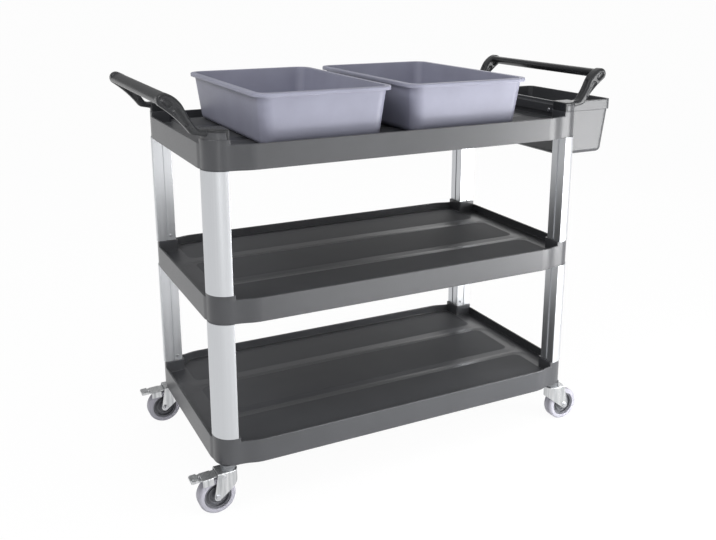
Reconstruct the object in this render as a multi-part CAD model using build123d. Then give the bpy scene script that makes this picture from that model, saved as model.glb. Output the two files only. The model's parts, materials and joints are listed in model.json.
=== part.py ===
from build123d import *
import math
import os

# Bussing cart: three moulded trays on quarter-round uprights, a push handle at each end,
# two lift-out bus tubs, a hook-on refuse bin and four swivel casters.
# Millimetres, +Z up, +X towards the bin end, -Y the front long side, floor at z = 0.

# Trays
tray_length = 900.0
tray_width = 496.0
tray_height = 51.0
tray_wall = 4.0
tray_floor = 4.0
well_depth = 19.0
tray_pitch = 311.5
rim_round = 1.2
corner_radius = 39.5
corner_set_back_end = 2.5
corner_set_back_side = 10.0
side_flare = 58.0
end_flare = 20.5
block_rise = 9.5
block_ledge = 4.5
block_inner_round = 6.0

# Raised pads on a tray floor and the ribs under it
valley_spacing = 177.0
valley_floor = 8.0
pad_rise = 3.0
pad_ramp = 18.0
pad_side_margin = 6.0
pad_end_margin = 20.0
pad_end_ramp = 34.0
pad_corner = 34.0
rib_thickness = 3.0
rib_depth = 16.0
cross_rib_count = 5

# Uprights
post_flat_x = 3.0
post_flat_y = 6.0
post_wall = 1.8
post_proud = 1.5
post_edge_round = 1.5
groove_width = 5.0
groove_depth = 2.0
spigot_height = 25.0
fit_clearance = 0.3

# Screws
post_screw_radius = 1.75
post_screw_head_radius = 3.5
post_screw_head = 2.2
post_screw_length = 14.0
post_screw_height = 12.0
post_screw_offset = 10.0
handle_screw_radius = 2.0
handle_screw_head_radius = 4.0
handle_screw_head = 2.6
handle_screw_length = 18.0
screw_clearance = 0.1
head_round_share = 0.6

# Handles
cap_height = 20.5
cap_spigot_height = 14.0
cap_inset = 0.3
cap_edge_round = 2.5
grip_half_width = 14.5
grip_half_thickness = 9.5
grip_tilt = 25.0
grip_shift_up = 1.0
elbow_out = 67.0
elbow_rise = 79.0
elbow_radius = 14.0
arm_top_angle = 70.0
arm_under_angle = 235.0
arm_width = 24.0
arm_inset = 10.0
waist_out = 30.0
waist_rise = 62.0
root_out = 5.0
root_round = 14.0
heel_out = 20.0
heel_rise = 12.0
heel_round = 10.0
arm_bed = 32.0
bed_rise = 1.0
bed_round = 8.5
arm_edge_round = 6.0
elbow_scoop_length = 11.0
neck_scoop_length = 32.0
inner_scoop_length = 18.0
scoop_gap = 18.0
scoop_radius = 9.0
scoop_depth = 3.0

# Bus tubs
tub_length = 305.0
tub_side_gap = 10.0
tub_height = 108.5
tub_wall = 3.0
tub_floor = 3.5
tub_draft = 12.0
tub_corner = 34.0
tub_bottom_round = 14.0
tub_flange = 9.0
tub_flange_drop = 8.0
tub_rim_round = 2.4
tub_end_gap = 104.0
tub_gap = 35.0

# Refuse bin
bin_length = 318.0
bin_reach = 158.0
bin_height = 132.0
bin_rise = 18.5
bin_wall = 3.0
bin_draft_out = 12.0
bin_draft_in = 3.0
bin_draft_side = 6.0
bin_corner = 17.0
bin_low_corner = 18.0
bin_bottom_round = 12.0
bin_band = 24.0
bin_band_proud = 1.5
bin_gap = 3.0
hook_thickness = 3.0
hook_top_rise = 11.5
hook_lip_drop = 8.0
hook_clearance = 0.6
hook_rib_count = 4
clamp_screw_radius = 2.5
clamp_screw_head_radius = 4.5
clamp_screw_head = 2.8
clamp_screw_inset = 14.0

# Casters
wheel_top_gap = 9.5
caster_inset_x = 25.0
caster_inset_y = 30.0
caster_trail = 28.0
wheel_diameter = 80.0
tyre_width = 28.0
tyre_shoulder = 6.0
hub_radius = 29.0
hub_side_step = 3.0
hub_boss_wall = 5.0
hub_boss_over = 2.0
hub_web = 10.0
hub_rim = 4.0
hub_ring_radius = 19.0
hub_ring_wall = 2.5
hub_ring_width = 18.0
axle_radius = 3.0
sleeve_wall = 2.0
running_fit = 0.05
nut_across_flats = 10.0
bolt_head = 4.0
nut_height = 5.0
bolt_over = 2.5
fork_side_gap = 0.5
fork_plate = 2.5
fork_axle_round = 8.0
fork_top_back = 27.0
fork_front_drop = 26.0
fork_bend = 2.0
crown_thickness = 3.0
stem_radius = 6.0
stem_flange_over = 0.5
stem_flange = 4.0
stem_rivet_radius = 8.0
stem_rivet = 2.2
swivel_gap = 0.3
insert_wall = 3.0
insert_height = 22.0
race_height = 8.0
race_wall = 1.6
race_bore_gap = 2.0
ball_diameter = 4.6
ball_side_gap = 0.9
ball_count = 10

# Foot brakes of the two left casters
pedal_pin_radius = 2.5
pedal_pin_head_radius = 4.0
pedal_pin_head = 1.6
pedal_rivet_gap = 1.6
pedal_crown_gap = 1.6
pedal_eye_radius = 4.4
pedal_side_gap = 3.0
pedal_plate = 3.0
pedal_reach = 68.0
pedal_slope = 3.0
shoe_back = 6.0
shoe_length = 8.0
shoe_depth = 1.4
hood_back = 22.0
hood_length = 23.0
hood_side_gap = 1.5
hood_plate = 2.0
hood_drop = 13.0
hood_bend = 2.5
pedal_slot_back = 45.0
pedal_slot_length = 4.0
pedal_slot_width = 18.0
tread_length = 16.0
tread_width = 28.0
tread_height = 2.5
tread_corner = 5.0
tread_rib_count = 4
tread_rib = 2.0
tread_rib_height = 1.2

# Levels and places that follow from the sizes
half_length = tray_length / 2
half_width = tray_width / 2
wheel_radius = wheel_diameter / 2
caster_height = wheel_diameter + wheel_top_gap + crown_thickness + race_height + stem_flange
tray_levels = {
    "bottom_tray": caster_height,
    "middle_tray": caster_height + tray_pitch,
    "top_tray": caster_height + 2 * tray_pitch,
}
post_size_x = corner_radius + post_proud + post_flat_x
post_size_y = corner_radius + post_proud + post_flat_y
post_length = tray_pitch - tray_height - block_rise
floor_level = tray_height - well_depth
post_in_x = corner_set_back_end - post_proud
post_in_y = corner_set_back_side - post_proud
block_size_x = post_in_x + post_size_x + block_ledge - corner_set_back_end
block_size_y = post_in_y + post_size_y + block_ledge - corner_set_back_side
arm_set_back = corner_set_back_side + block_size_y - arm_inset - arm_width
top_level = tray_levels["top_tray"]
rim_level = top_level + tray_height
cap_level = rim_level + block_rise
tub_width = tray_width - 2 * tub_side_gap
tub_left_centre = tub_end_gap + tub_length / 2 - half_length
tub_right_centre = tub_left_centre + tub_length + tub_gap
hook_length = bin_length - 2 * bin_corner
crown_top = caster_height - stem_flange - race_height
crown_bottom = crown_top - crown_thickness
hub_width = tyre_width - 2 * hub_side_step
hub_boss_width = tyre_width + 2 * hub_boss_over
sleeve_radius = axle_radius + sleeve_wall
hub_boss_radius = sleeve_radius + hub_boss_wall
fork_gap = hub_boss_width + 2 * fork_side_gap
fork_outer = fork_gap / 2 + fork_plate
insert_radius = stem_radius + insert_wall
race_bore = stem_radius + race_bore_gap
ball_pitch_radius = race_bore + ball_side_gap + ball_diameter / 2
race_outer_radius = ball_pitch_radius + ball_diameter / 2 + ball_side_gap + race_wall
stem_flange_radius = race_outer_radius + stem_flange_over
pedal_pin_back = stem_rivet_radius + pedal_eye_radius + pedal_rivet_gap
pedal_pin_height = crown_bottom - pedal_eye_radius - pedal_crown_gap
pedal_width = fork_gap - 2 * pedal_side_gap
left_reach = half_length + elbow_out + elbow_radius
right_reach = half_length + bin_gap + bin_reach
origin_x = (right_reach - left_reach) / 2
corners = ("front_left", "front_right", "rear_left", "rear_right")


def at_corner(shape, corner):
    """Mirror a piece of the front left corner to the named corner."""
    placed = shape
    if "right" in corner:
        placed = mirror(placed, about=Plane.YZ)
    if "rear" in corner:
        placed = mirror(placed, about=Plane.XZ)
    return placed


def all_corners(shape):
    """A piece of the front left corner and its three mirror images."""
    return [at_corner(shape, corner) for corner in corners]


def corner_plan(in_x, in_y, size_x, size_y, round_radius, inner_round, edge_round):
    """Plan of a corner piece: a rectangle whose outside corner is one large arc."""
    low_x = in_x - half_length
    low_y = in_y - half_width
    high_x = low_x + size_x
    high_y = low_y + size_y
    plan = Pos(low_x + size_x / 2, low_y + size_y / 2) * Rectangle(size_x, size_y)
    square = Pos(low_x, low_y) * Rectangle(2 * round_radius, 2 * round_radius)
    plan -= square - Pos(low_x + round_radius, low_y + round_radius) * Circle(round_radius)
    rounds = (
        ((high_x, high_y), inner_round),
        ((high_x, low_y), edge_round),
        ((low_x, high_y), edge_round),
    )
    for place, radius in rounds:
        if radius > 0:
            plan = fillet(plan.vertices().sort_by_distance(place)[0], radius)
    return plan


def post_plan(inset):
    """Plan of an upright, shrunk by an inset all round, with a groove in each inner face."""
    size_x = post_size_x - 2 * inset
    size_y = post_size_y - 2 * inset
    radius = corner_radius + post_proud - inset
    edge = max(post_edge_round - inset, 0)
    plan = corner_plan(post_in_x + inset, post_in_y + inset, size_x, size_y, radius, edge, edge)
    face_x = post_in_x + post_size_x - inset - half_length
    face_y = post_in_y + post_size_y - inset - half_width
    middle_x = post_in_x + post_size_x / 2 - half_length
    middle_y = post_in_y + post_size_y / 2 - half_width
    width = groove_width + 2 * inset
    plan -= Pos(face_x, middle_y) * Rectangle(2 * groove_depth, width)
    plan -= Pos(middle_x, face_y) * Rectangle(width, 2 * groove_depth)
    return plan


def tray_outline():
    """Plan of a tray: long sides that swell past the rounded corners."""
    side = -half_width
    end = -half_length
    side_start = (end + corner_set_back_end + corner_radius + side_flare, side)
    corner_start = (end + corner_set_back_end + corner_radius, side + corner_set_back_side)
    corner_end = (end + corner_set_back_end, side + corner_set_back_side + corner_radius)
    end_start = (end, corner_end[1] + end_flare)
    side_middle = ((side_start[0] + corner_start[0]) / 2, (side_start[1] + corner_start[1]) / 2)
    end_middle = ((end_start[0] + corner_end[0]) / 2, (end_start[1] + corner_end[1]) / 2)
    with BuildSketch() as outline:
        with BuildLine():
            Line((0, side), side_start)
            TangentArc(side_start, side_middle, tangent=(-1, 0))
            TangentArc(corner_start, side_middle, tangent=(1, 0))
            TangentArc(corner_start, corner_end, tangent=(-1, 0))
            TangentArc(corner_end, end_middle, tangent=(0, 1))
            TangentArc(end_start, end_middle, tangent=(0, -1))
            Line(end_start, (end, 0))
            mirror(about=Plane.YZ)
            mirror(about=Plane.XZ)
        make_face()
    return outline.sketch


def floor_pads():
    """Raised pads that run along the tray, each a low plateau with sloping sides."""
    foot_length = tray_length - 2 * (tray_wall + pad_end_margin)
    top_length = foot_length - 2 * pad_end_ramp
    inner_edge = (valley_spacing + valley_floor) / 2
    outer_edge = half_width - tray_wall - pad_side_margin
    middle_edge = (valley_spacing - valley_floor) / 2
    pads = []
    for low, high in ((-outer_edge, -inner_edge), (-middle_edge, middle_edge), (inner_edge, outer_edge)):
        place = Pos(0, (low + high) / 2, floor_level)
        foot = RectangleRounded(foot_length, high - low, pad_corner)
        plateau = RectangleRounded(top_length, high - low - 2 * pad_ramp, pad_corner - pad_ramp)
        top = Pos(0, 0, pad_rise) * plateau
        pads.append(place * loft([foot.face(), top.face()], ruled=True))
    return pads


def tray_ribs():
    """Stiffening ribs under a tray floor, under the valleys between the pads and across."""
    inside_length = tray_length - 2 * tray_wall
    inside_width = tray_width - 2 * tray_wall
    low = floor_level - tray_floor - rib_depth
    high = floor_level - tray_floor + min(pad_rise, tray_floor)
    ribs = []
    for side in (-1, 1):
        along = Box(inside_length, rib_thickness, high - low)
        ribs.append(Pos(0, side * valley_spacing / 2, (low + high) / 2) * along)
    for index in range(cross_rib_count):
        place = (index + 1) / (cross_rib_count + 1) - 0.5
        across = Box(rib_thickness, inside_width, high - low)
        ribs.append(Pos(place * inside_length, 0, (low + high) / 2) * across)
    return ribs


def post_screw_place(level):
    """Seat of an upright's screw on its inner face, driven towards the front."""
    x = post_in_x + post_size_x / 2 + post_screw_offset - half_length
    y = post_in_y + post_size_y - half_width
    return Location((x, y, level), (90, 0, 0))


def handle_screw_place():
    """Seat of a handle cap's screw on its inner face, driven towards the front."""
    x = post_in_x + post_size_x / 2 + post_screw_offset - half_length
    y = corner_set_back_side + block_size_y - cap_inset - half_width
    return Location((x, y, cap_level + cap_spigot_height / 2), (90, 0, 0))


def bore(radius, depth):
    """A drill that starts at the seat of a screw and follows its shank."""
    return Pos(0, 0, depth / 2) * Cylinder(radius, depth)


def screw(radius, length, head_radius, head):
    """Pan-head screw with its seat at the origin and its shank along +Z."""
    shank = Pos(0, 0, length / 2) * Cylinder(radius, length)
    top = Pos(0, 0, -head / 2) * Cylinder(head_radius, head)
    top = fillet(top.edges().group_by(Axis.Z)[0], head * head_round_share)
    return shank + top


def tray(name):
    """One moulded tray with its corner blocks, spigots, pads and ribs."""
    outline = tray_outline()
    inside = offset(outline, amount=-tray_wall)
    body = extrude(outline, tray_height)
    body -= Pos(0, 0, floor_level) * extrude(inside, well_depth)
    body -= extrude(inside, floor_level - tray_floor)
    rim = body.edges().group_by(Axis.Z)[-1]
    body = fillet(rim, rim_round)
    block = extrude(
        corner_plan(
            corner_set_back_end,
            corner_set_back_side,
            block_size_x,
            block_size_y,
            corner_radius,
            block_inner_round,
            0,
        ),
        tray_height + block_rise,
    )
    upper = cap_spigot_height if name == "top_tray" else spigot_height
    spigot = extrude(post_plan(post_wall + fit_clearance), upper)
    block += Pos(0, 0, tray_height + block_rise) * spigot
    if name == "top_tray":
        place = handle_screw_place()
        drill = bore(handle_screw_radius + screw_clearance, handle_screw_length + screw_clearance)
        block -= Pos(0, 0, -top_level) * (place * drill)
    else:
        drill = bore(post_screw_radius + screw_clearance, post_screw_length + screw_clearance)
        block -= post_screw_place(tray_height + block_rise + post_screw_height) * drill
    if name == "bottom_tray":
        hole = Pos(0, 0, insert_height / 2) * Cylinder(insert_radius + screw_clearance, insert_height)
        block -= Pos(caster_inset_x - half_length, caster_inset_y - half_width) * hole
    else:
        lower = extrude(post_plan(post_wall + fit_clearance), -spigot_height)
        drill = bore(post_screw_radius + screw_clearance, post_screw_length + screw_clearance)
        block += lower - post_screw_place(-post_screw_height) * drill
    pads = floor_pads()
    body += pads
    body -= [Pos(0, 0, -tray_floor) * pad for pad in pads]
    body += tray_ribs()
    body += all_corners(block)
    return Pos(0, 0, tray_levels[name]) * body


def upright(base):
    """One length of the extrusion, standing on a corner block of the front left."""
    section = post_plan(0) - post_plan(post_wall)
    post = Pos(0, 0, base) * extrude(section, post_length)
    drill = bore(post_screw_radius + screw_clearance, 2 * post_wall)
    for level in (base + post_screw_height, base + post_length - post_screw_height):
        post -= post_screw_place(level) * drill
    return post


def tangent_point(centre, radius, point, side):
    """Where a line from a point touches a circle, on the chosen side."""
    away = Vector(*point) - Vector(*centre)
    angle = math.atan2(away.Y, away.X) + side * math.acos(radius / away.length)
    return (centre[0] + radius * math.cos(angle), centre[1] + radius * math.sin(angle))


def on_circle(centre, radius, angle):
    """Point of a circle at an angle, and the direction along the circle there, anticlockwise."""
    turn = math.radians(angle)
    away = Vector(math.cos(turn), math.sin(turn))
    return Vector(*centre) + away * radius, Vector(-away.Y, away.X)


def arm_plane(y):
    """Side plane of a left handle's arm: x inwards from the tray's end, y up from the cap's seat."""
    return Plane((-half_length, y, cap_level), x_dir=(1, 0, 0), z_dir=(0, -1, 0))


def handle_arm():
    """Front arm of the left handle: a crooked bar with rounded edges, scooped on three faces."""
    elbow = (-elbow_out, elbow_rise)
    waist = (-waist_out, waist_rise)
    root = (-root_out, cap_height)
    heel = (-heel_out, heel_rise)
    inner, inner_way = on_circle(elbow, elbow_radius, arm_top_angle)
    outer, outer_way = on_circle(elbow, elbow_radius, arm_under_angle)
    top = TangentArc(inner, waist, tangent=-inner_way)
    neck = TangentArc(waist, root, tangent=top % 1)
    bed = [(arm_bed, cap_height), (arm_bed, bed_rise)]
    foot = Polyline(root, *bed, heel)
    under = TangentArc(outer, heel, tangent=outer_way)
    crest = TangentArc(inner, outer, tangent=inner_way)
    face = make_face([top, neck, under, crest] + foot.edges())
    rounds = [(root, root_round), (heel, heel_round)] + [(point, bed_round) for point in bed]
    for point, radius in rounds:
        face = fillet(face.vertices().sort_by_distance(point)[0], radius)
    front = arm_set_back - half_width
    arm = extrude(arm_plane(front) * face, arm_width, dir=(0, 1, 0))
    outline = arm.edges().group_by(Axis.Y)
    arm = fillet(outline[0] + outline[-1], arm_edge_round)
    return arm - arm_scoops(Vector(*elbow), Vector(*waist), Vector(*root), Vector(*heel))


def scoop(start, way, length):
    """Round-ended tool in an arm's side plane, from a point along a direction."""
    end = start + way * length
    angle = math.degrees(math.atan2(way.Y, way.X))
    middle = (start + end) * 0.5
    bar = Pos(middle.X, middle.Y) * Rot(0, 0, angle) * Rot(0, 90, 0) * Cylinder(scoop_radius, length)
    return bar + Pos(start.X, start.Y) * Sphere(scoop_radius) + Pos(end.X, end.Y) * Sphere(scoop_radius)


def arm_scoops(elbow, waist, root, heel):
    """Hollows of one arm: two in each side face and one in the face towards the tray."""
    clear = scoop_radius - scoop_depth
    front = arm_set_back - half_width
    middle = (waist + heel) * 0.5
    across = (middle - elbow).normalized()
    down = ((root + heel) * 0.5 - middle).normalized()
    side = scoop(elbow, across, elbow_scoop_length)
    side += scoop(elbow + across * (elbow_scoop_length + scoop_gap), down, neck_scoop_length)
    along = (root - waist).normalized()
    face = scoop(waist + Vector(-along.Y, along.X) * clear, along, inner_scoop_length)
    tools = arm_plane(front) * Pos(0, 0, clear) * side
    tools += arm_plane(front + arm_width) * Pos(0, 0, -clear) * side
    return tools + arm_plane(front + arm_width / 2) * face


def handle_cap():
    """Corner cap of the front left, hollow over the tray's short spigot."""
    plan = corner_plan(
        corner_set_back_end + cap_inset,
        corner_set_back_side + cap_inset,
        block_size_x - 2 * cap_inset,
        block_size_y - 2 * cap_inset,
        corner_radius - cap_inset,
        block_inner_round,
        cap_edge_round,
    )
    cap = extrude(plan, cap_height)
    cap = fillet(cap.edges().group_by(Axis.Z)[-1], cap_edge_round)
    return Pos(0, 0, cap_level) * cap


def handle_left():
    """Left push handle: a grip between two arms that rise from the corner caps."""
    front_end = handle_cap() + handle_arm()
    hollow = extrude(post_plan(post_wall), cap_spigot_height + fit_clearance)
    front_end -= Pos(0, 0, cap_level) * hollow
    drill = bore(handle_screw_radius + screw_clearance, handle_screw_length)
    front_end -= handle_screw_place() * drill
    middle = arm_set_back + arm_width / 2 - half_width
    section = Rot(0, 0, grip_tilt) * Ellipse(grip_half_width, grip_half_thickness)
    grip_centre = Pos(-elbow_out, elbow_rise + grip_shift_up)
    grip = extrude(arm_plane(middle) * grip_centre * section, -2 * middle, dir=(0, 1, 0))
    return front_end + mirror(front_end, about=Plane.XZ) + grip


def bucket(mouth, corner, depth, draft, shift, low_corner, bottom_round):
    """Solid of a drafted bucket, its mouth at z = 0, with rounded bottom edges."""
    high = RectangleRounded(mouth[0], mouth[1], corner)
    low = RectangleRounded(mouth[0] - 2 * draft[0], mouth[1] - 2 * draft[1], low_corner)
    body = loft([(Pos(shift, 0, -depth) * low).face(), high.face()], ruled=True)
    return fillet(body.edges().group_by(Axis.Z)[0], bottom_round)


def shrunk(size, amount):
    """A plan size less a wall on every side."""
    return (size[0] - 2 * amount, size[1] - 2 * amount)


def bus_tub(centre_x):
    """Drafted tub with a rolled rim, standing on the pads of the top tray."""
    base = rim_level - well_depth + pad_rise
    rim = (tub_length, tub_width)
    mouth = shrunk(rim, tub_flange)
    mouth_corner = tub_corner - tub_flange
    draft = (tub_draft, tub_draft)
    outer = bucket(mouth, mouth_corner, tub_height, draft, 0, mouth_corner, tub_bottom_round)
    inner = bucket(
        shrunk(mouth, tub_wall),
        mouth_corner - tub_wall,
        tub_height - tub_floor,
        draft,
        0,
        mouth_corner - tub_wall,
        tub_bottom_round - tub_wall,
    )
    lid = extrude(RectangleRounded(*rim, tub_corner), -tub_flange_drop)
    lid = fillet(lid.edges().group_by(Axis.Z)[-1], tub_rim_round)
    under = RectangleRounded(*shrunk(rim, tub_wall), tub_corner - tub_wall)
    lid -= Pos(0, 0, -tub_wall) * extrude(under, tub_wall - tub_flange_drop)
    return Pos(centre_x, 0, base + tub_height) * (lid + outer - inner)


def refuse_bin():
    """Tapered bin with a banded rim and a ribbed hook flange over the tray's end wall."""
    top = rim_level + bin_rise
    middle_x = half_length + bin_gap + bin_reach / 2
    rim = (bin_reach, bin_length)
    mouth = shrunk(rim, bin_band_proud)
    draft = ((bin_draft_out + bin_draft_in) / 2, bin_draft_side)
    shift = (bin_draft_in - bin_draft_out) / 2
    corner = bin_corner - bin_band_proud
    outer = bucket(mouth, corner, bin_height, draft, shift, bin_low_corner, bin_bottom_round)
    inner = bucket(
        shrunk(mouth, bin_wall),
        corner - bin_wall,
        bin_height - bin_wall,
        draft,
        shift,
        bin_low_corner - bin_wall,
        bin_bottom_round - bin_wall,
    )
    band = extrude(RectangleRounded(*rim, bin_corner), -bin_band)
    shell = Pos(middle_x, 0, top) * (band + outer - inner)
    return shell + bin_hook()


def bin_hook():
    """Hook of the bin: a web over the rim, a lip inside the tray and ribs that bear on the rim."""
    lip_high = rim_level + hook_top_rise
    lip_low = rim_level - hook_lip_drop
    lip_x = half_length - tray_wall - hook_clearance - hook_thickness
    back_x = half_length + bin_gap + bin_wall
    web = Pos((lip_x + back_x) / 2, 0, lip_high - hook_thickness / 2) * Box(
        back_x - lip_x, hook_length, hook_thickness
    )
    lip = Pos(lip_x + hook_thickness / 2, 0, (lip_high + lip_low) / 2) * Box(
        hook_thickness, hook_length, lip_high - lip_low
    )
    hook = web + lip
    rib_low = rim_level + fit_clearance
    for index in range(hook_rib_count):
        place = (index + 0.5) / hook_rib_count - 0.5
        rib = Box(back_x - lip_x, hook_thickness, lip_high - rib_low)
        hook += Pos((lip_x + back_x) / 2, place * hook_length, (lip_high + rib_low) / 2) * rib
    for place in clamp_screw_places():
        hook -= place * bore(clamp_screw_radius + screw_clearance, hook_thickness)
    return hook


def clamp_screw_places():
    """Seats of the two screws in the bin's lip, driven towards the tray's end wall."""
    x = half_length - tray_wall - hook_clearance - hook_thickness
    y = hook_length / 2 - clamp_screw_inset
    level = rim_level - (hook_lip_drop - clamp_screw_head_radius) / 2
    return [Location((x, side * y, level), (0, 90, 0)) for side in (-1, 1)]


def tyre():
    """Tyre of a wheel on the Y axis through the origin."""
    band = Rot(90, 0, 0) * Cylinder(wheel_radius, tyre_width)
    rims = band.edges().group_by(Axis.Y)
    band = fillet(rims[0] + rims[-1], tyre_shoulder)
    return band - Rot(90, 0, 0) * Cylinder(hub_radius + running_fit, tyre_width)


def wheel_hub():
    """Hub of a wheel: a rim that carries the tyre, a ringed web and a boss that runs on the sleeve."""
    rim = Cylinder(hub_radius, hub_width) - Cylinder(hub_radius - hub_rim, hub_width)
    web = Cylinder(hub_radius - hub_rim / 2, hub_web)
    ring = Cylinder(hub_ring_radius, hub_ring_width)
    ring -= Cylinder(hub_ring_radius - hub_ring_wall, hub_ring_width)
    boss = Cylinder(hub_boss_radius, hub_boss_width)
    hub = rim + web + ring + boss - Cylinder(sleeve_radius + running_fit, hub_boss_width)
    return Rot(90, 0, 0) * hub


def axle_sleeve():
    """Steel sleeve between the fork legs on which the wheel turns."""
    length = fork_gap - 2 * running_fit
    sleeve = Cylinder(sleeve_radius, length) - Cylinder(axle_radius + running_fit, length)
    return Rot(90, 0, 0) * sleeve


def axle_bolt():
    """Hexagon bolt through both fork legs, and its nut, along the Y axis."""
    flat = nut_across_flats / 2
    hexagon = RegularPolygon(flat, 6, major_radius=False)
    head = Pos(0, 0, fork_outer) * extrude(hexagon, bolt_head)
    shank_end = fork_outer + nut_height + bolt_over
    shank = Pos(0, 0, (fork_outer - shank_end) / 2) * Cylinder(axle_radius, fork_outer + shank_end)
    nut = Pos(0, 0, -fork_outer - nut_height) * extrude(hexagon, nut_height)
    nut -= Cylinder(axle_radius + running_fit, 2 * shank_end)
    return [Rot(90, 0, 0) * (head + shank), Rot(90, 0, 0) * nut]


def fork_plan(radius, back):
    """Plan of a fork: a half circle about the swivel axis in front, straight sides behind it."""
    return Circle(radius) + Pos(-back / 2, 0) * Rectangle(back, 2 * radius)


def fork(braked):
    """Pressed fork of the front left caster, round in front: swivel axis at x = 0, axle behind it."""
    axle = (-caster_trail, wheel_radius)
    back = (-fork_top_back, crown_top)
    knee = (fork_outer, crown_top - fork_front_drop)
    low_front = tangent_point(axle, fork_axle_round, knee, -1)
    low_back = tangent_point(axle, fork_axle_round, back, 1)
    beyond = Vector(*knee) + (Vector(*knee) - Vector(*low_front)).normalized() * fork_plate
    sides = Polyline(low_back, back, (beyond.X, crown_top), beyond, low_front)
    end = ThreePointArc(low_front, (axle[0], axle[1] - fork_axle_round), low_back)
    side_view = extrude(Plane.XZ * make_face(sides.edges() + [end]), 2 * fork_outer, both=True)
    reach = 2 * caster_trail
    skirt = fork_plan(fork_outer, reach) - fork_plan(fork_gap / 2, reach)
    legs = extrude(skirt, crown_top) & side_view
    crown = Pos(0, 0, crown_bottom) * extrude(fork_plan(fork_outer, fork_top_back), crown_thickness)
    body = legs + crown
    bends = body.edges().filter_by(Axis.X).group_by(Axis.Z)[-1]
    body = fillet(bends, fork_bend)
    body -= Pos(0, 0, crown_top) * Cylinder(stem_radius + running_fit, 4 * crown_thickness)
    across = 4 * fork_outer
    body -= Pos(axle[0], 0, axle[1]) * Rot(90, 0, 0) * Cylinder(axle_radius + running_fit, across)
    if braked:
        hole = Rot(90, 0, 0) * Cylinder(pedal_pin_radius + running_fit, across)
        body -= Pos(-pedal_pin_back, 0, pedal_pin_height) * hole
    return body


def caster_stem():
    """Fixed swivel stem: thread above the flange, journal and rivet head below."""
    low = crown_bottom - swivel_gap - stem_rivet
    high = caster_height + insert_height
    stem = Pos(0, 0, (low + high) / 2) * Cylinder(stem_radius, high - low)
    stem += Pos(0, 0, caster_height - stem_flange / 2) * Cylinder(stem_flange_radius, stem_flange)
    stem += Pos(0, 0, low + stem_rivet / 2) * Cylinder(stem_rivet_radius, stem_rivet)
    return stem


def race_floor():
    """Thickness of the race cup's floor, which leaves room for the balls."""
    return race_height - ball_diameter - running_fit - swivel_gap


def race_cup():
    """Ball race cup on the fork's crown."""
    wall_height = race_height - 2 * swivel_gap
    cup = Pos(0, 0, wall_height / 2) * Cylinder(race_outer_radius, wall_height)
    room = wall_height - race_floor()
    cup -= Pos(0, 0, race_floor() + room / 2) * Cylinder(race_outer_radius - race_wall, room)
    cup -= Pos(0, 0, wall_height / 2) * Cylinder(race_bore, wall_height)
    return Pos(0, 0, crown_top) * cup


def swivel_balls():
    """Ring of balls between the race cup and the stem's flange."""
    level = crown_top + race_floor() + running_fit + ball_diameter / 2
    return [
        Pos(0, 0, level) * Rot(0, 0, 360 * index / ball_count)
        * Pos(ball_pitch_radius, 0, 0) * Sphere(ball_diameter / 2)
        for index in range(ball_count)
    ]


def brake_pin():
    """Riveted pin of a brake pedal, through both fork legs."""
    pin = Cylinder(pedal_pin_radius, 2 * fork_outer)
    for side in (-1, 1):
        head = Cylinder(pedal_pin_head_radius, pedal_pin_head)
        pin += Pos(0, 0, side * (fork_outer + pedal_pin_head / 2)) * head
    return Pos(-pedal_pin_back, 0, pedal_pin_height) * Rot(90, 0, 0) * pin


def pedal_block(back, length, width, low, high):
    """Block of a level pedal: how far behind the pin it starts, and its lower and upper levels."""
    return Pos(-back - length / 2, 0, (low + high) / 2) * Box(length, width, high - low)


def brake_pedal():
    """Foot pedal: eye on the pin, brake shoe, hood round the tyre's shoulders and ribbed tread."""
    high = pedal_eye_radius
    low = high - pedal_plate
    pedal = Rot(90, 0, 0) * Cylinder(pedal_eye_radius, pedal_width)
    pedal += pedal_block(0, pedal_reach, pedal_width, low, high)
    pedal += pedal_block(shoe_back, shoe_length, pedal_width, low - shoe_depth, low)
    room = tyre_width + 2 * hood_side_gap
    hood = pedal_block(hood_back, hood_length, room + 2 * hood_plate, low - hood_drop, high)
    hood = fillet(hood.edges().filter_by(Axis.X).group_by(Axis.Z)[-1], hood_bend)
    pedal += hood - pedal_block(hood_back, hood_length, room, low - hood_drop, low)
    pedal -= pedal_block(pedal_slot_back, pedal_slot_length, pedal_slot_width, low, high)
    pedal += pedal_tread(low, high + tread_height)
    pedal -= Rot(90, 0, 0) * Cylinder(pedal_pin_radius + running_fit, 2 * pedal_width)
    return Pos(-pedal_pin_back, 0, pedal_pin_height) * Rot(0, -pedal_slope, 0) * pedal


def pedal_tread(low, high):
    """Tread at the tip of a level pedal, with ribs across."""
    back = pedal_reach - tread_length
    tread = pedal_block(back, tread_length, tread_width, low, high)
    tread = fillet(tread.edges().filter_by(Axis.Z).group_by(Axis.X)[0], tread_corner)
    rib_width = tread_width - 2 * tread_corner
    for index in range(tread_rib_count):
        middle = back + (index + 0.5) * tread_length / tread_rib_count
        tread += pedal_block(middle - tread_rib / 2, tread_rib, rib_width, high, high + tread_rib_height)
    return tread


def to_caster(shape):
    """Move a caster's piece from its swivel axis to the front left corner."""
    return Pos(caster_inset_x - half_length, caster_inset_y - half_width) * shape


def to_axle(shape):
    """Move a wheel's piece from the origin to the axle of the front left caster."""
    return to_caster(Pos(-caster_trail, 0, wheel_radius) * shape)


nodes = {}
for tray_name in tray_levels:
    nodes[tray_name] = [tray(tray_name)]

post_screws = []
levels = list(tray_levels.values())
for tier, level in (("lower", levels[0]), ("upper", levels[1])):
    base = level + tray_height + block_rise
    post = upright(base)
    for corner in corners:
        nodes[f"upright_{tier}_{corner}"] = [at_corner(post, corner)]
    for screw_level in (base + post_screw_height, base + post_length - post_screw_height):
        shape = screw(
            post_screw_radius, post_screw_length, post_screw_head_radius, post_screw_head
        )
        post_screws += all_corners(post_screw_place(screw_level) * shape)
nodes["upright_screws"] = post_screws

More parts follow.
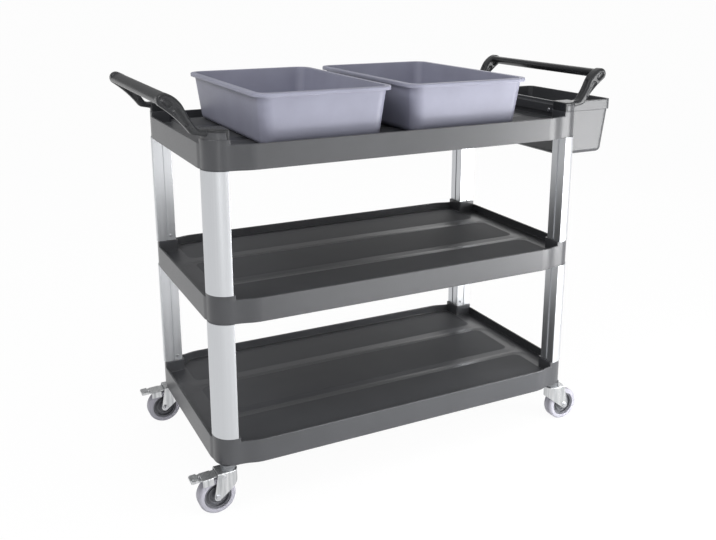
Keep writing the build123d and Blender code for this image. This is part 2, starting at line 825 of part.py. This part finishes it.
left_handle = handle_left()
nodes["handle_left"] = [left_handle]
nodes["handle_right"] = [mirror(left_handle, about=Plane.YZ)]
cap_screw = screw(
    handle_screw_radius, handle_screw_length, handle_screw_head_radius, handle_screw_head
)
nodes["handle_screws"] = all_corners(handle_screw_place() * cap_screw)

nodes["bus_tub_left"] = [bus_tub(tub_left_centre)]
nodes["bus_tub_right"] = [bus_tub(tub_right_centre)]
nodes["refuse_bin"] = [refuse_bin()]
clamp_screw = screw(
    clamp_screw_radius, hook_thickness, clamp_screw_head_radius, clamp_screw_head
)
nodes["bin_clamp_screws"] = [place * clamp_screw for place in clamp_screw_places()]

insert = Cylinder(insert_radius, insert_height)
insert -= Cylinder(stem_radius + screw_clearance, insert_height)
insert = to_caster(Pos(0, 0, caster_height + insert_height / 2) * insert)
nodes["stem_inserts"] = all_corners(insert)

for corner in corners:
    braked = "left" in corner
    pieces = {
        "caster_stem": [to_caster(caster_stem())],
        "race_cup": [to_caster(race_cup())],
        "swivel_balls": [to_caster(ball) for ball in swivel_balls()],
        "caster_fork": [to_caster(fork(braked))],
        "axle_bolt": [to_axle(piece) for piece in axle_bolt()],
        "axle_sleeve": [to_axle(axle_sleeve())],
        "wheel_hub": [to_axle(wheel_hub())],
        "tyre": [to_axle(tyre())],
    }
    if braked:
        pieces["brake_pin"] = [to_caster(brake_pin())]
        pieces["brake_pedal"] = [to_caster(brake_pedal())]
    for piece_name, shapes in pieces.items():
        nodes[f"{piece_name}_{corner}"] = [at_corner(shape, corner) for shape in shapes]

os.makedirs("parts", exist_ok=True)
for name, shapes in nodes.items():
    solids = [solid for shape in shapes for solid in shape.solids()]
    placed = [Pos(-origin_x, 0, 0) * solid for solid in solids]
    export_step(placed[0] if len(placed) == 1 else Compound(placed), f"parts/{name}.step")
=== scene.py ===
import json
import math

import bpy
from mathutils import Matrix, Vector


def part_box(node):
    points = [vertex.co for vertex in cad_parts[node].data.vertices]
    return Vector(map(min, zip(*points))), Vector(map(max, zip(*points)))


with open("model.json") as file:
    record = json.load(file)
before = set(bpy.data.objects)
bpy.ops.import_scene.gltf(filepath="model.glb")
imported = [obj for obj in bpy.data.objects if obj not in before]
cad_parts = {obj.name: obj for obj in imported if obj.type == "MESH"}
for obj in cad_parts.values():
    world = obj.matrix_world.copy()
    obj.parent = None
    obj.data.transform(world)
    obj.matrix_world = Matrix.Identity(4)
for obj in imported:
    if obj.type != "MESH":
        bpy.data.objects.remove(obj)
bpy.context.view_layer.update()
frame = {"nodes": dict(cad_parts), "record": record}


# Trays: three injection mouldings of charcoal polypropylene, each with a rim, corner blocks and
# low pads on its floor. The mould is spark eroded, which leaves a fine, even, half-matt grain.
mm = 0.001


def linear(hex_colour, alpha=1.0):
    """Linear colour of an sRGB hex value."""
    values = [int(hex_colour[start:start + 2], 16) / 255 for start in (1, 3, 5)]
    return [v / 12.92 if v <= 0.04045 else ((v + 0.055) / 1.055) ** 2.4 for v in values] + [alpha]


def add(tree, kind, inputs=None, **settings):
    """Add one shader node with its settings, and set or link its inputs."""
    made = tree.nodes.new(kind)
    for name, value in settings.items():
        setattr(made, name, value)
    for key, value in (inputs or {}).items():
        if isinstance(value, bpy.types.NodeSocket):
            tree.links.new(value, made.inputs[key])
        else:
            made.inputs[key].default_value = value
    return made


def new_material(name):
    """A material with its node tree and its surface shader."""
    made = bpy.data.materials.new(name)
    made.use_nodes = True
    return made, made.node_tree, made.node_tree.nodes["Principled BSDF"]


def dress(node_name, finish):
    """Give a node of the frame its finish."""
    piece = frame["nodes"][node_name]
    piece.data.materials.clear()
    piece.data.materials.append(finish)


def edge_rub(tree, width):
    """Mask of the edges that hands and loads rub, about as wide as the given size, and the soft normal."""
    soft = add(tree, "ShaderNodeBevel", {"Radius": width}, samples=6).outputs["Normal"]
    sharp = add(tree, "ShaderNodeNewGeometry").outputs["Normal"]
    match = add(tree, "ShaderNodeVectorMath", {0: soft, 1: sharp}, operation="DOT_PRODUCT")
    mask = add(tree, "ShaderNodeMapRange", {
        "Value": match.outputs["Value"], "From Min": 0.99, "From Max": 0.8, "To Min": 0.0, "To Max": 1.0,
    })
    return mask.outputs["Result"], soft


def moulded_plastic(name, body, rubbed, grain, roughness, shine, edge, matt_level=None, matt_roughness=None):
    """Moulded polypropylene: spark-eroded grain, cloudy gloss from the flow, edges rubbed paler.

    A flat at the matt level, facing up, takes one rougher, matt value in place of the grain's varying gloss.
    """
    flow_cloud = 70 * mm
    grain_depth = 0.2 * mm
    level_slack = 0.4 * mm
    made, tree, surface = new_material(name)
    place = add(tree, "ShaderNodeTexCoord").outputs["Object"]
    cloud = add(tree, "ShaderNodeTexNoise", {"Vector": place, "Scale": 1 / flow_cloud, "Detail": 4.0})
    fine = add(tree, "ShaderNodeTexNoise", {"Vector": place, "Scale": 1 / grain, "Detail": 3.0})
    rub, soft_normal = edge_rub(tree, edge)
    patchy = add(tree, "ShaderNodeMath", {0: rub, 1: cloud.outputs["Fac"]}, operation="MULTIPLY")
    colour = add(tree, "ShaderNodeMix", {
        "Factor": patchy.outputs["Value"], "A": linear(body), "B": linear(rubbed),
    }, data_type="RGBA")
    tone = add(tree, "ShaderNodeMapRange", {
        "Value": cloud.outputs["Fac"], "From Min": 0.3, "From Max": 0.7, "To Min": 0.94, "To Max": 1.06,
    })
    shaded = add(tree, "ShaderNodeVectorMath", {
        0: colour.outputs["Result"], "Scale": tone.outputs["Result"],
    }, operation="SCALE")
    gloss = add(tree, "ShaderNodeMapRange", {
        "Value": fine.outputs["Fac"], "From Min": 0.3, "From Max": 0.7,
        "To Min": roughness - 0.05, "To Max": roughness + 0.05,
    })
    bump = add(tree, "ShaderNodeBump", {
        "Height": fine.outputs["Fac"], "Strength": 0.12, "Distance": grain_depth, "Normal": soft_normal,
    })
    polish = gloss.outputs["Result"]
    if matt_level is not None:
        height = add(tree, "ShaderNodeSeparateXYZ", {"Vector": place})
        level = add(tree, "ShaderNodeMath", {
            0: height.outputs["Z"], 1: matt_level, 2: level_slack,
        }, operation="COMPARE")
        facing = add(tree, "ShaderNodeSeparateXYZ", {
            "Vector": add(tree, "ShaderNodeTexCoord").outputs["Normal"],
        })
        matt = add(tree, "ShaderNodeMath", {
            0: level.outputs["Value"], 1: facing.outputs["Z"],
        }, operation="MULTIPLY", use_clamp=True)
        polish = add(tree, "ShaderNodeMix", {
            "Factor": matt.outputs["Value"], "A": polish, "B": matt_roughness,
        }).outputs["Result"]
    surface.inputs["Specular IOR Level"].default_value = shine
    tree.links.new(shaded.outputs["Vector"], surface.inputs["Base Color"])
    tree.links.new(polish, surface.inputs["Roughness"])
    tree.links.new(bump.outputs["Normal"], surface.inputs["Normal"])
    return made


# Textured polypropylene looks dark from above and turns silvery where it mirrors the studio at a
# slant; the matt pads stay dark there. The grain is about 0.3 mm, drawn at 1.6 mm so that it shows.
floors = {mount["name"]: mount["pos_m"][2] for mount in frame["record"]["mounts"]}
pad_levels = {
    "bottom_tray": floors["bottom_tray_floor"],
    "middle_tray": floors["middle_tray_floor"],
    "top_tray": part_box("bus_tub_left")[0][2],
}
for tray, pad_level in pad_levels.items():
    dress(tray, moulded_plastic(
        f"charcoal_polypropylene_spark_textured_{tray}", body="#3D3E41", rubbed="#5C5D61",
        grain=1.6 * mm, roughness=0.34, shine=0.55, edge=2.5 * mm,
        matt_level=pad_level, matt_roughness=0.64,
    ))


# Uprights: quarter-round aluminium extrusions between the trays, satin anodised.
# The die leaves fine lines along their length, which draw the light out up and down the post.
# Screws hold them on the trays' spigots.
corners = ("front_left", "front_right", "rear_left", "rear_right")


def drawn_metal(name, body, roughness, line, length):
    """Anodised extrusion: metal with fine die lines along its length."""
    line_depth = 0.1 * mm
    made, tree, surface = new_material(name)
    place = add(tree, "ShaderNodeTexCoord").outputs["Object"]
    along = add(tree, "ShaderNodeMapping", {
        "Vector": place, "Scale": (1 / line, 1 / line, 1 / length),
    })
    lines = add(tree, "ShaderNodeTexNoise", {
        "Vector": along.outputs["Vector"], "Scale": 1.0, "Detail": 3.0,
    })
    gloss = add(tree, "ShaderNodeMapRange", {
        "Value": lines.outputs["Fac"], "From Min": 0.3, "From Max": 0.7,
        "To Min": roughness - 0.06, "To Max": roughness + 0.06,
    })
    tone = add(tree, "ShaderNodeMapRange", {
        "Value": lines.outputs["Fac"], "From Min": 0.3, "From Max": 0.7, "To Min": 0.96, "To Max": 1.03,
    })
    colour = add(tree, "ShaderNodeVectorMath", {
        0: linear(body)[:3], "Scale": tone.outputs["Result"],
    }, operation="SCALE")
    bump = add(tree, "ShaderNodeBump", {
        "Height": lines.outputs["Fac"], "Strength": 0.06, "Distance": line_depth,
    })
    surface.inputs["Metallic"].default_value = 1.0
    tree.links.new(colour.outputs["Vector"], surface.inputs["Base Color"])
    tree.links.new(gloss.outputs["Result"], surface.inputs["Roughness"])
    tree.links.new(bump.outputs["Normal"], surface.inputs["Normal"])
    return made


# Die lines are a few tenths of a millimetre apart, drawn at 1.2 mm so that they show.
post_metal = drawn_metal(
    "anodised_aluminium_extruded", body="#CBCDD0", roughness=0.42, line=1.2 * mm, length=400 * mm
)
for tier in ("lower", "upper"):
    for corner in corners:
        dress(f"upright_{tier}_{corner}", post_metal)


# Screws: zinc plated steel, rolled and headed, in the uprights, the handle caps and the bin's lip.
# The plating is bright with faint cloudy patches.
def plated_steel(name, body, tint, roughness, patch, drawn):
    """Zinc plate on steel: bright metal with faint patches, drawn out up and down by the press."""
    patch_depth = 0.1 * mm
    made, tree, surface = new_material(name)
    place = add(tree, "ShaderNodeTexCoord").outputs["Object"]
    along = add(tree, "ShaderNodeMapping", {
        "Vector": place, "Scale": (1 / patch, 1 / patch, 1 / drawn),
    })
    cloud = add(tree, "ShaderNodeTexNoise", {
        "Vector": along.outputs["Vector"], "Scale": 1.0, "Detail": 3.0,
    })
    spread = add(tree, "ShaderNodeMapRange", {
        "Value": cloud.outputs["Fac"], "From Min": 0.35, "From Max": 0.65, "To Min": 0.0, "To Max": 1.0,
    })
    colour = add(tree, "ShaderNodeMix", {
        "Factor": spread.outputs["Result"], "A": linear(body), "B": linear(tint),
    }, data_type="RGBA")
    gloss = add(tree, "ShaderNodeMapRange", {
        "Value": spread.outputs["Result"], "To Min": roughness - 0.06, "To Max": roughness + 0.08,
    })
    bump = add(tree, "ShaderNodeBump", {
        "Height": cloud.outputs["Fac"], "Strength": 0.08, "Distance": patch_depth,
    })
    surface.inputs["Metallic"].default_value = 1.0
    tree.links.new(colour.outputs["Result"], surface.inputs["Base Color"])
    tree.links.new(gloss.outputs["Result"], surface.inputs["Roughness"])
    tree.links.new(bump.outputs["Normal"], surface.inputs["Normal"])
    return made


screw_steel = plated_steel(
    "zinc_plated_steel_headed", body="#C9CACC", tint="#B9BABF", roughness=0.3, patch=3 * mm, drawn=3 * mm
)
for group in ("upright_screws", "handle_screws", "bin_clamp_screws"):
    dress(group, screw_steel)


# Push handles: one moulding at each end, with a grip, two crooked arms and a cap over each corner of
# the top tray. Screws from below hold the caps. The plastic is darker and less shiny than the trays',
# so that the hollows of the arms stay soft; its grain is drawn as coarse as theirs.
handle_plastic = moulded_plastic(
    "black_polypropylene_textured", body="#28292B", rubbed="#505155",
    grain=1.6 * mm, roughness=0.30, shine=0.32, edge=2 * mm,
)
for handle in ("handle_left", "handle_right"):
    dress(handle, handle_plastic)


# Bus tubs: lilac-grey polypropylene tubs with a rolled rim, which stand loose on the top tray's pads.
# The satin mould gives a broad, milky sheen on their sides. Its grain is drawn at 2 mm so that it shows.
tub_plastic = moulded_plastic(
    "lilac_grey_polypropylene_moulded", body="#8B8C9C", rubbed="#A0A1B0",
    grain=2 * mm, roughness=0.45, shine=0.4, edge=3 * mm,
)
for tub in ("bus_tub_left", "bus_tub_right"):
    dress(tub, tub_plastic)


# Refuse bin: charcoal polypropylene, hooked over the right end wall of the top tray and clamped there.
# It comes from a smoother mould than the trays, so its reflections are a little sharper.
# The grain is finer than theirs, and drawn coarser than it is too.
bin_plastic = moulded_plastic(
    "charcoal_polypropylene_satin", body="#404144", rubbed="#626367",
    grain=1.4 * mm, roughness=0.32, shine=0.45, edge=3 * mm,
)
dress("refuse_bin", bin_plastic)


# Casters: zinc plated forks that swivel on a stem screwed into the bottom tray, with a rubber tyre on
# a polypropylene hub. The forks are pressed and bright; the turned race and stem above them are duller.
# The tyre has a dull skin, and the hub a plain moulded one.
fork_steel = plated_steel(
    "bright_zinc_plated_steel_pressed", body="#D8D9DA", tint="#AEB0B2",
    roughness=0.32, patch=6 * mm, drawn=90 * mm,
)
race_steel = plated_steel(
    "zinc_plated_steel_turned", body="#8C8E91", tint="#808286", roughness=0.36, patch=5 * mm, drawn=5 * mm
)
ball_steel = plated_steel(
    "polished_bearing_steel", body="#D0D0D0", tint="#C6C6C8", roughness=0.12, patch=4 * mm, drawn=4 * mm
)
insert_brass = plated_steel(
    "turned_brass", body="#C9A95C", tint="#BE9B4C", roughness=0.3, patch=4 * mm, drawn=4 * mm
)
hub_plastic = moulded_plastic(
    "grey_polypropylene_moulded", body="#56575C", rubbed="#74757A",
    grain=1.4 * mm, roughness=0.45, shine=0.5, edge=1.5 * mm,
)
tyre_rubber = moulded_plastic(
    "grey_thermoplastic_rubber_moulded", body="#97969F", rubbed="#A9A8B1",
    grain=1.6 * mm, roughness=0.58, shine=0.5, edge=2 * mm,
)
dress("stem_inserts", insert_brass)
for corner in corners:
    dress(f"caster_stem_{corner}", race_steel)
    dress(f"race_cup_{corner}", race_steel)
    dress(f"swivel_balls_{corner}", ball_steel)
    dress(f"caster_fork_{corner}", fork_steel)
    dress(f"axle_bolt_{corner}", screw_steel)
    dress(f"axle_sleeve_{corner}", race_steel)
    dress(f"wheel_hub_{corner}", hub_plastic)
    dress(f"tyre_{corner}", tyre_rubber)


# Foot brakes: zinc plated pedals with a ribbed tread on the two left casters.
# Each turns on a riveted pin and presses its shoe on the tyre.
for corner in ("front_left", "rear_left"):
    dress(f"brake_pin_{corner}", screw_steel)
    dress(f"brake_pedal_{corner}", fork_steel)


# Studio: a pale seamless floor that keeps the cart's shadow, grey walls and a pale ceiling around it.
# Eight soft lights stand about the cart.
floor_reach = 60.0
floor_drop = 0.2 * mm
white_share = 0.95
bpy.ops.mesh.primitive_plane_add(size=2 * floor_reach, location=(0, 0, -floor_drop))
floor = bpy.context.object
floor.name = "studio_floor"
floor_paper, tree, surface = new_material("white_paper_sweep")
surface.inputs["Base Color"].default_value = linear("#F4F4F4")
surface.inputs["Roughness"].default_value = 0.9
surface.inputs["Specular IOR Level"].default_value = 0.1
seen = add(tree, "ShaderNodeLightPath")
direct = add(tree, "ShaderNodeMath", {
    0: seen.outputs["Is Camera Ray"], 1: seen.outputs["Is Glossy Ray"],
}, operation="MAXIMUM")
through = add(tree, "ShaderNodeMath", {
    0: direct.outputs["Value"], 1: seen.outputs["Is Transmission Ray"],
}, operation="MAXIMUM")
share = add(tree, "ShaderNodeMath", {0: through.outputs["Value"], 1: white_share}, operation="MULTIPLY")
white = add(tree, "ShaderNodeEmission", {"Color": (1, 1, 1, 1), "Strength": 1.0})
blend = add(tree, "ShaderNodeMixShader", {
    0: share.outputs["Value"], 1: surface.outputs["BSDF"], 2: white.outputs["Emission"],
})
tree.links.new(blend.outputs["Shader"], tree.nodes["Material Output"].inputs["Surface"])
floor.data.materials.append(floor_paper)

# The surround is white at the horizon, grey along the walls and pale again overhead.
world = bpy.data.worlds.new("pale_surround")
bpy.context.scene.world = world
world.use_nodes = True
tree = world.node_tree
surround = tree.nodes["Background"]
outward = add(tree, "ShaderNodeTexCoord")
height = add(tree, "ShaderNodeSeparateXYZ", {"Vector": outward.outputs["Generated"]})
horizon, wall_foot, wall_head, ceiling = [math.sin(math.radians(angle)) for angle in (1, 6, 22, 42)]
wall_light = 0.28
ceiling_light = 0.80
low = add(tree, "ShaderNodeMapRange", {
    "Value": height.outputs["Z"], "From Min": horizon, "From Max": wall_foot,
    "To Min": 1.0, "To Max": wall_light,
}, interpolation_type="SMOOTHSTEP")
high = add(tree, "ShaderNodeMapRange", {
    "Value": height.outputs["Z"], "From Min": wall_head, "From Max": ceiling,
    "To Min": wall_light, "To Max": ceiling_light,
}, interpolation_type="SMOOTHSTEP")
strength = add(tree, "ShaderNodeMath", {
    0: low.outputs["Result"], 1: high.outputs["Result"],
}, operation="MAXIMUM")
surround.inputs["Color"].default_value = (1, 1, 1, 1)
tree.links.new(strength.outputs["Value"], surround.inputs["Strength"])


def softbox(name, place, aim, width, tall, power):
    """A soft studio light at a place, aimed at a point of the cart, and not itself in the picture."""
    lamp = bpy.data.lights.new(name, "AREA")
    lamp.shape = "RECTANGLE"
    lamp.size = width
    lamp.size_y = tall
    lamp.energy = power
    placed = bpy.data.objects.new(name, lamp)
    placed.location = place
    placed.rotation_euler = (Vector(aim) - Vector(place)).to_track_quat("-Z", "Y").to_euler()
    placed.visible_camera = False
    bpy.context.scene.collection.objects.link(placed)


# The key light stands low at the right, where the front panels mirror it towards their right ends.
# The rear light shows only in the glossy valleys between the pads.
softbox("key_softbox", (1.33, -1.12, 0.42), (0.35, -0.25, 0.42), width=0.54, tall=0.80, power=16.5)
softbox("front_softbox", (1.1, -2.6, 0.86), (0.3, 0, 0.5), width=1.7, tall=1.5, power=12)
softbox("low_softbox", (0.85, -1.15, 0.12), (0.6, -0.25, 0.20), width=1.7, tall=0.22, power=5)
softbox("floor_softbox", (0.3, -1.05, 0.52), (0.3, -1.05, 0), width=1.4, tall=0.5, power=14)
softbox("left_softbox", (-1.9, -0.6, 2.1), (0, 0, 0.6), width=1.4, tall=1.2, power=20)
softbox("strip_softbox", (-1.4, -2.05, 0.75), (-0.45, -0.2, 0.6), width=0.3, tall=1.4, power=4)
softbox("rear_softbox", (1.76, 1.97, 1.5), (0.4, 0, 0.5), width=1.0, tall=1.3, power=6)
softbox("top_softbox", (0, -0.6, 3.0), (0, 0, 0.45), width=2.4, tall=1.6, power=6)


# Camera: at the photograph's viewing angle, from the front left and above.
# Its small lens shift keeps the uprights nearly parallel.
lens = 43.26
lens_shift = -0.10
camera_place = (-0.9406, -1.7781, 1.0773)
camera_turn = 26.56
camera_tilt = 14.13
view = bpy.data.cameras.new("camera")
view.lens = lens
view.shift_y = lens_shift
camera = bpy.data.objects.new("camera", view)
camera.location = camera_place
camera.rotation_euler = (math.radians(90 - camera_tilt), 0, math.radians(-camera_turn))
bpy.context.scene.collection.objects.link(camera)
bpy.context.scene.camera = camera
bpy.context.scene.view_settings.view_transform = "Standard"
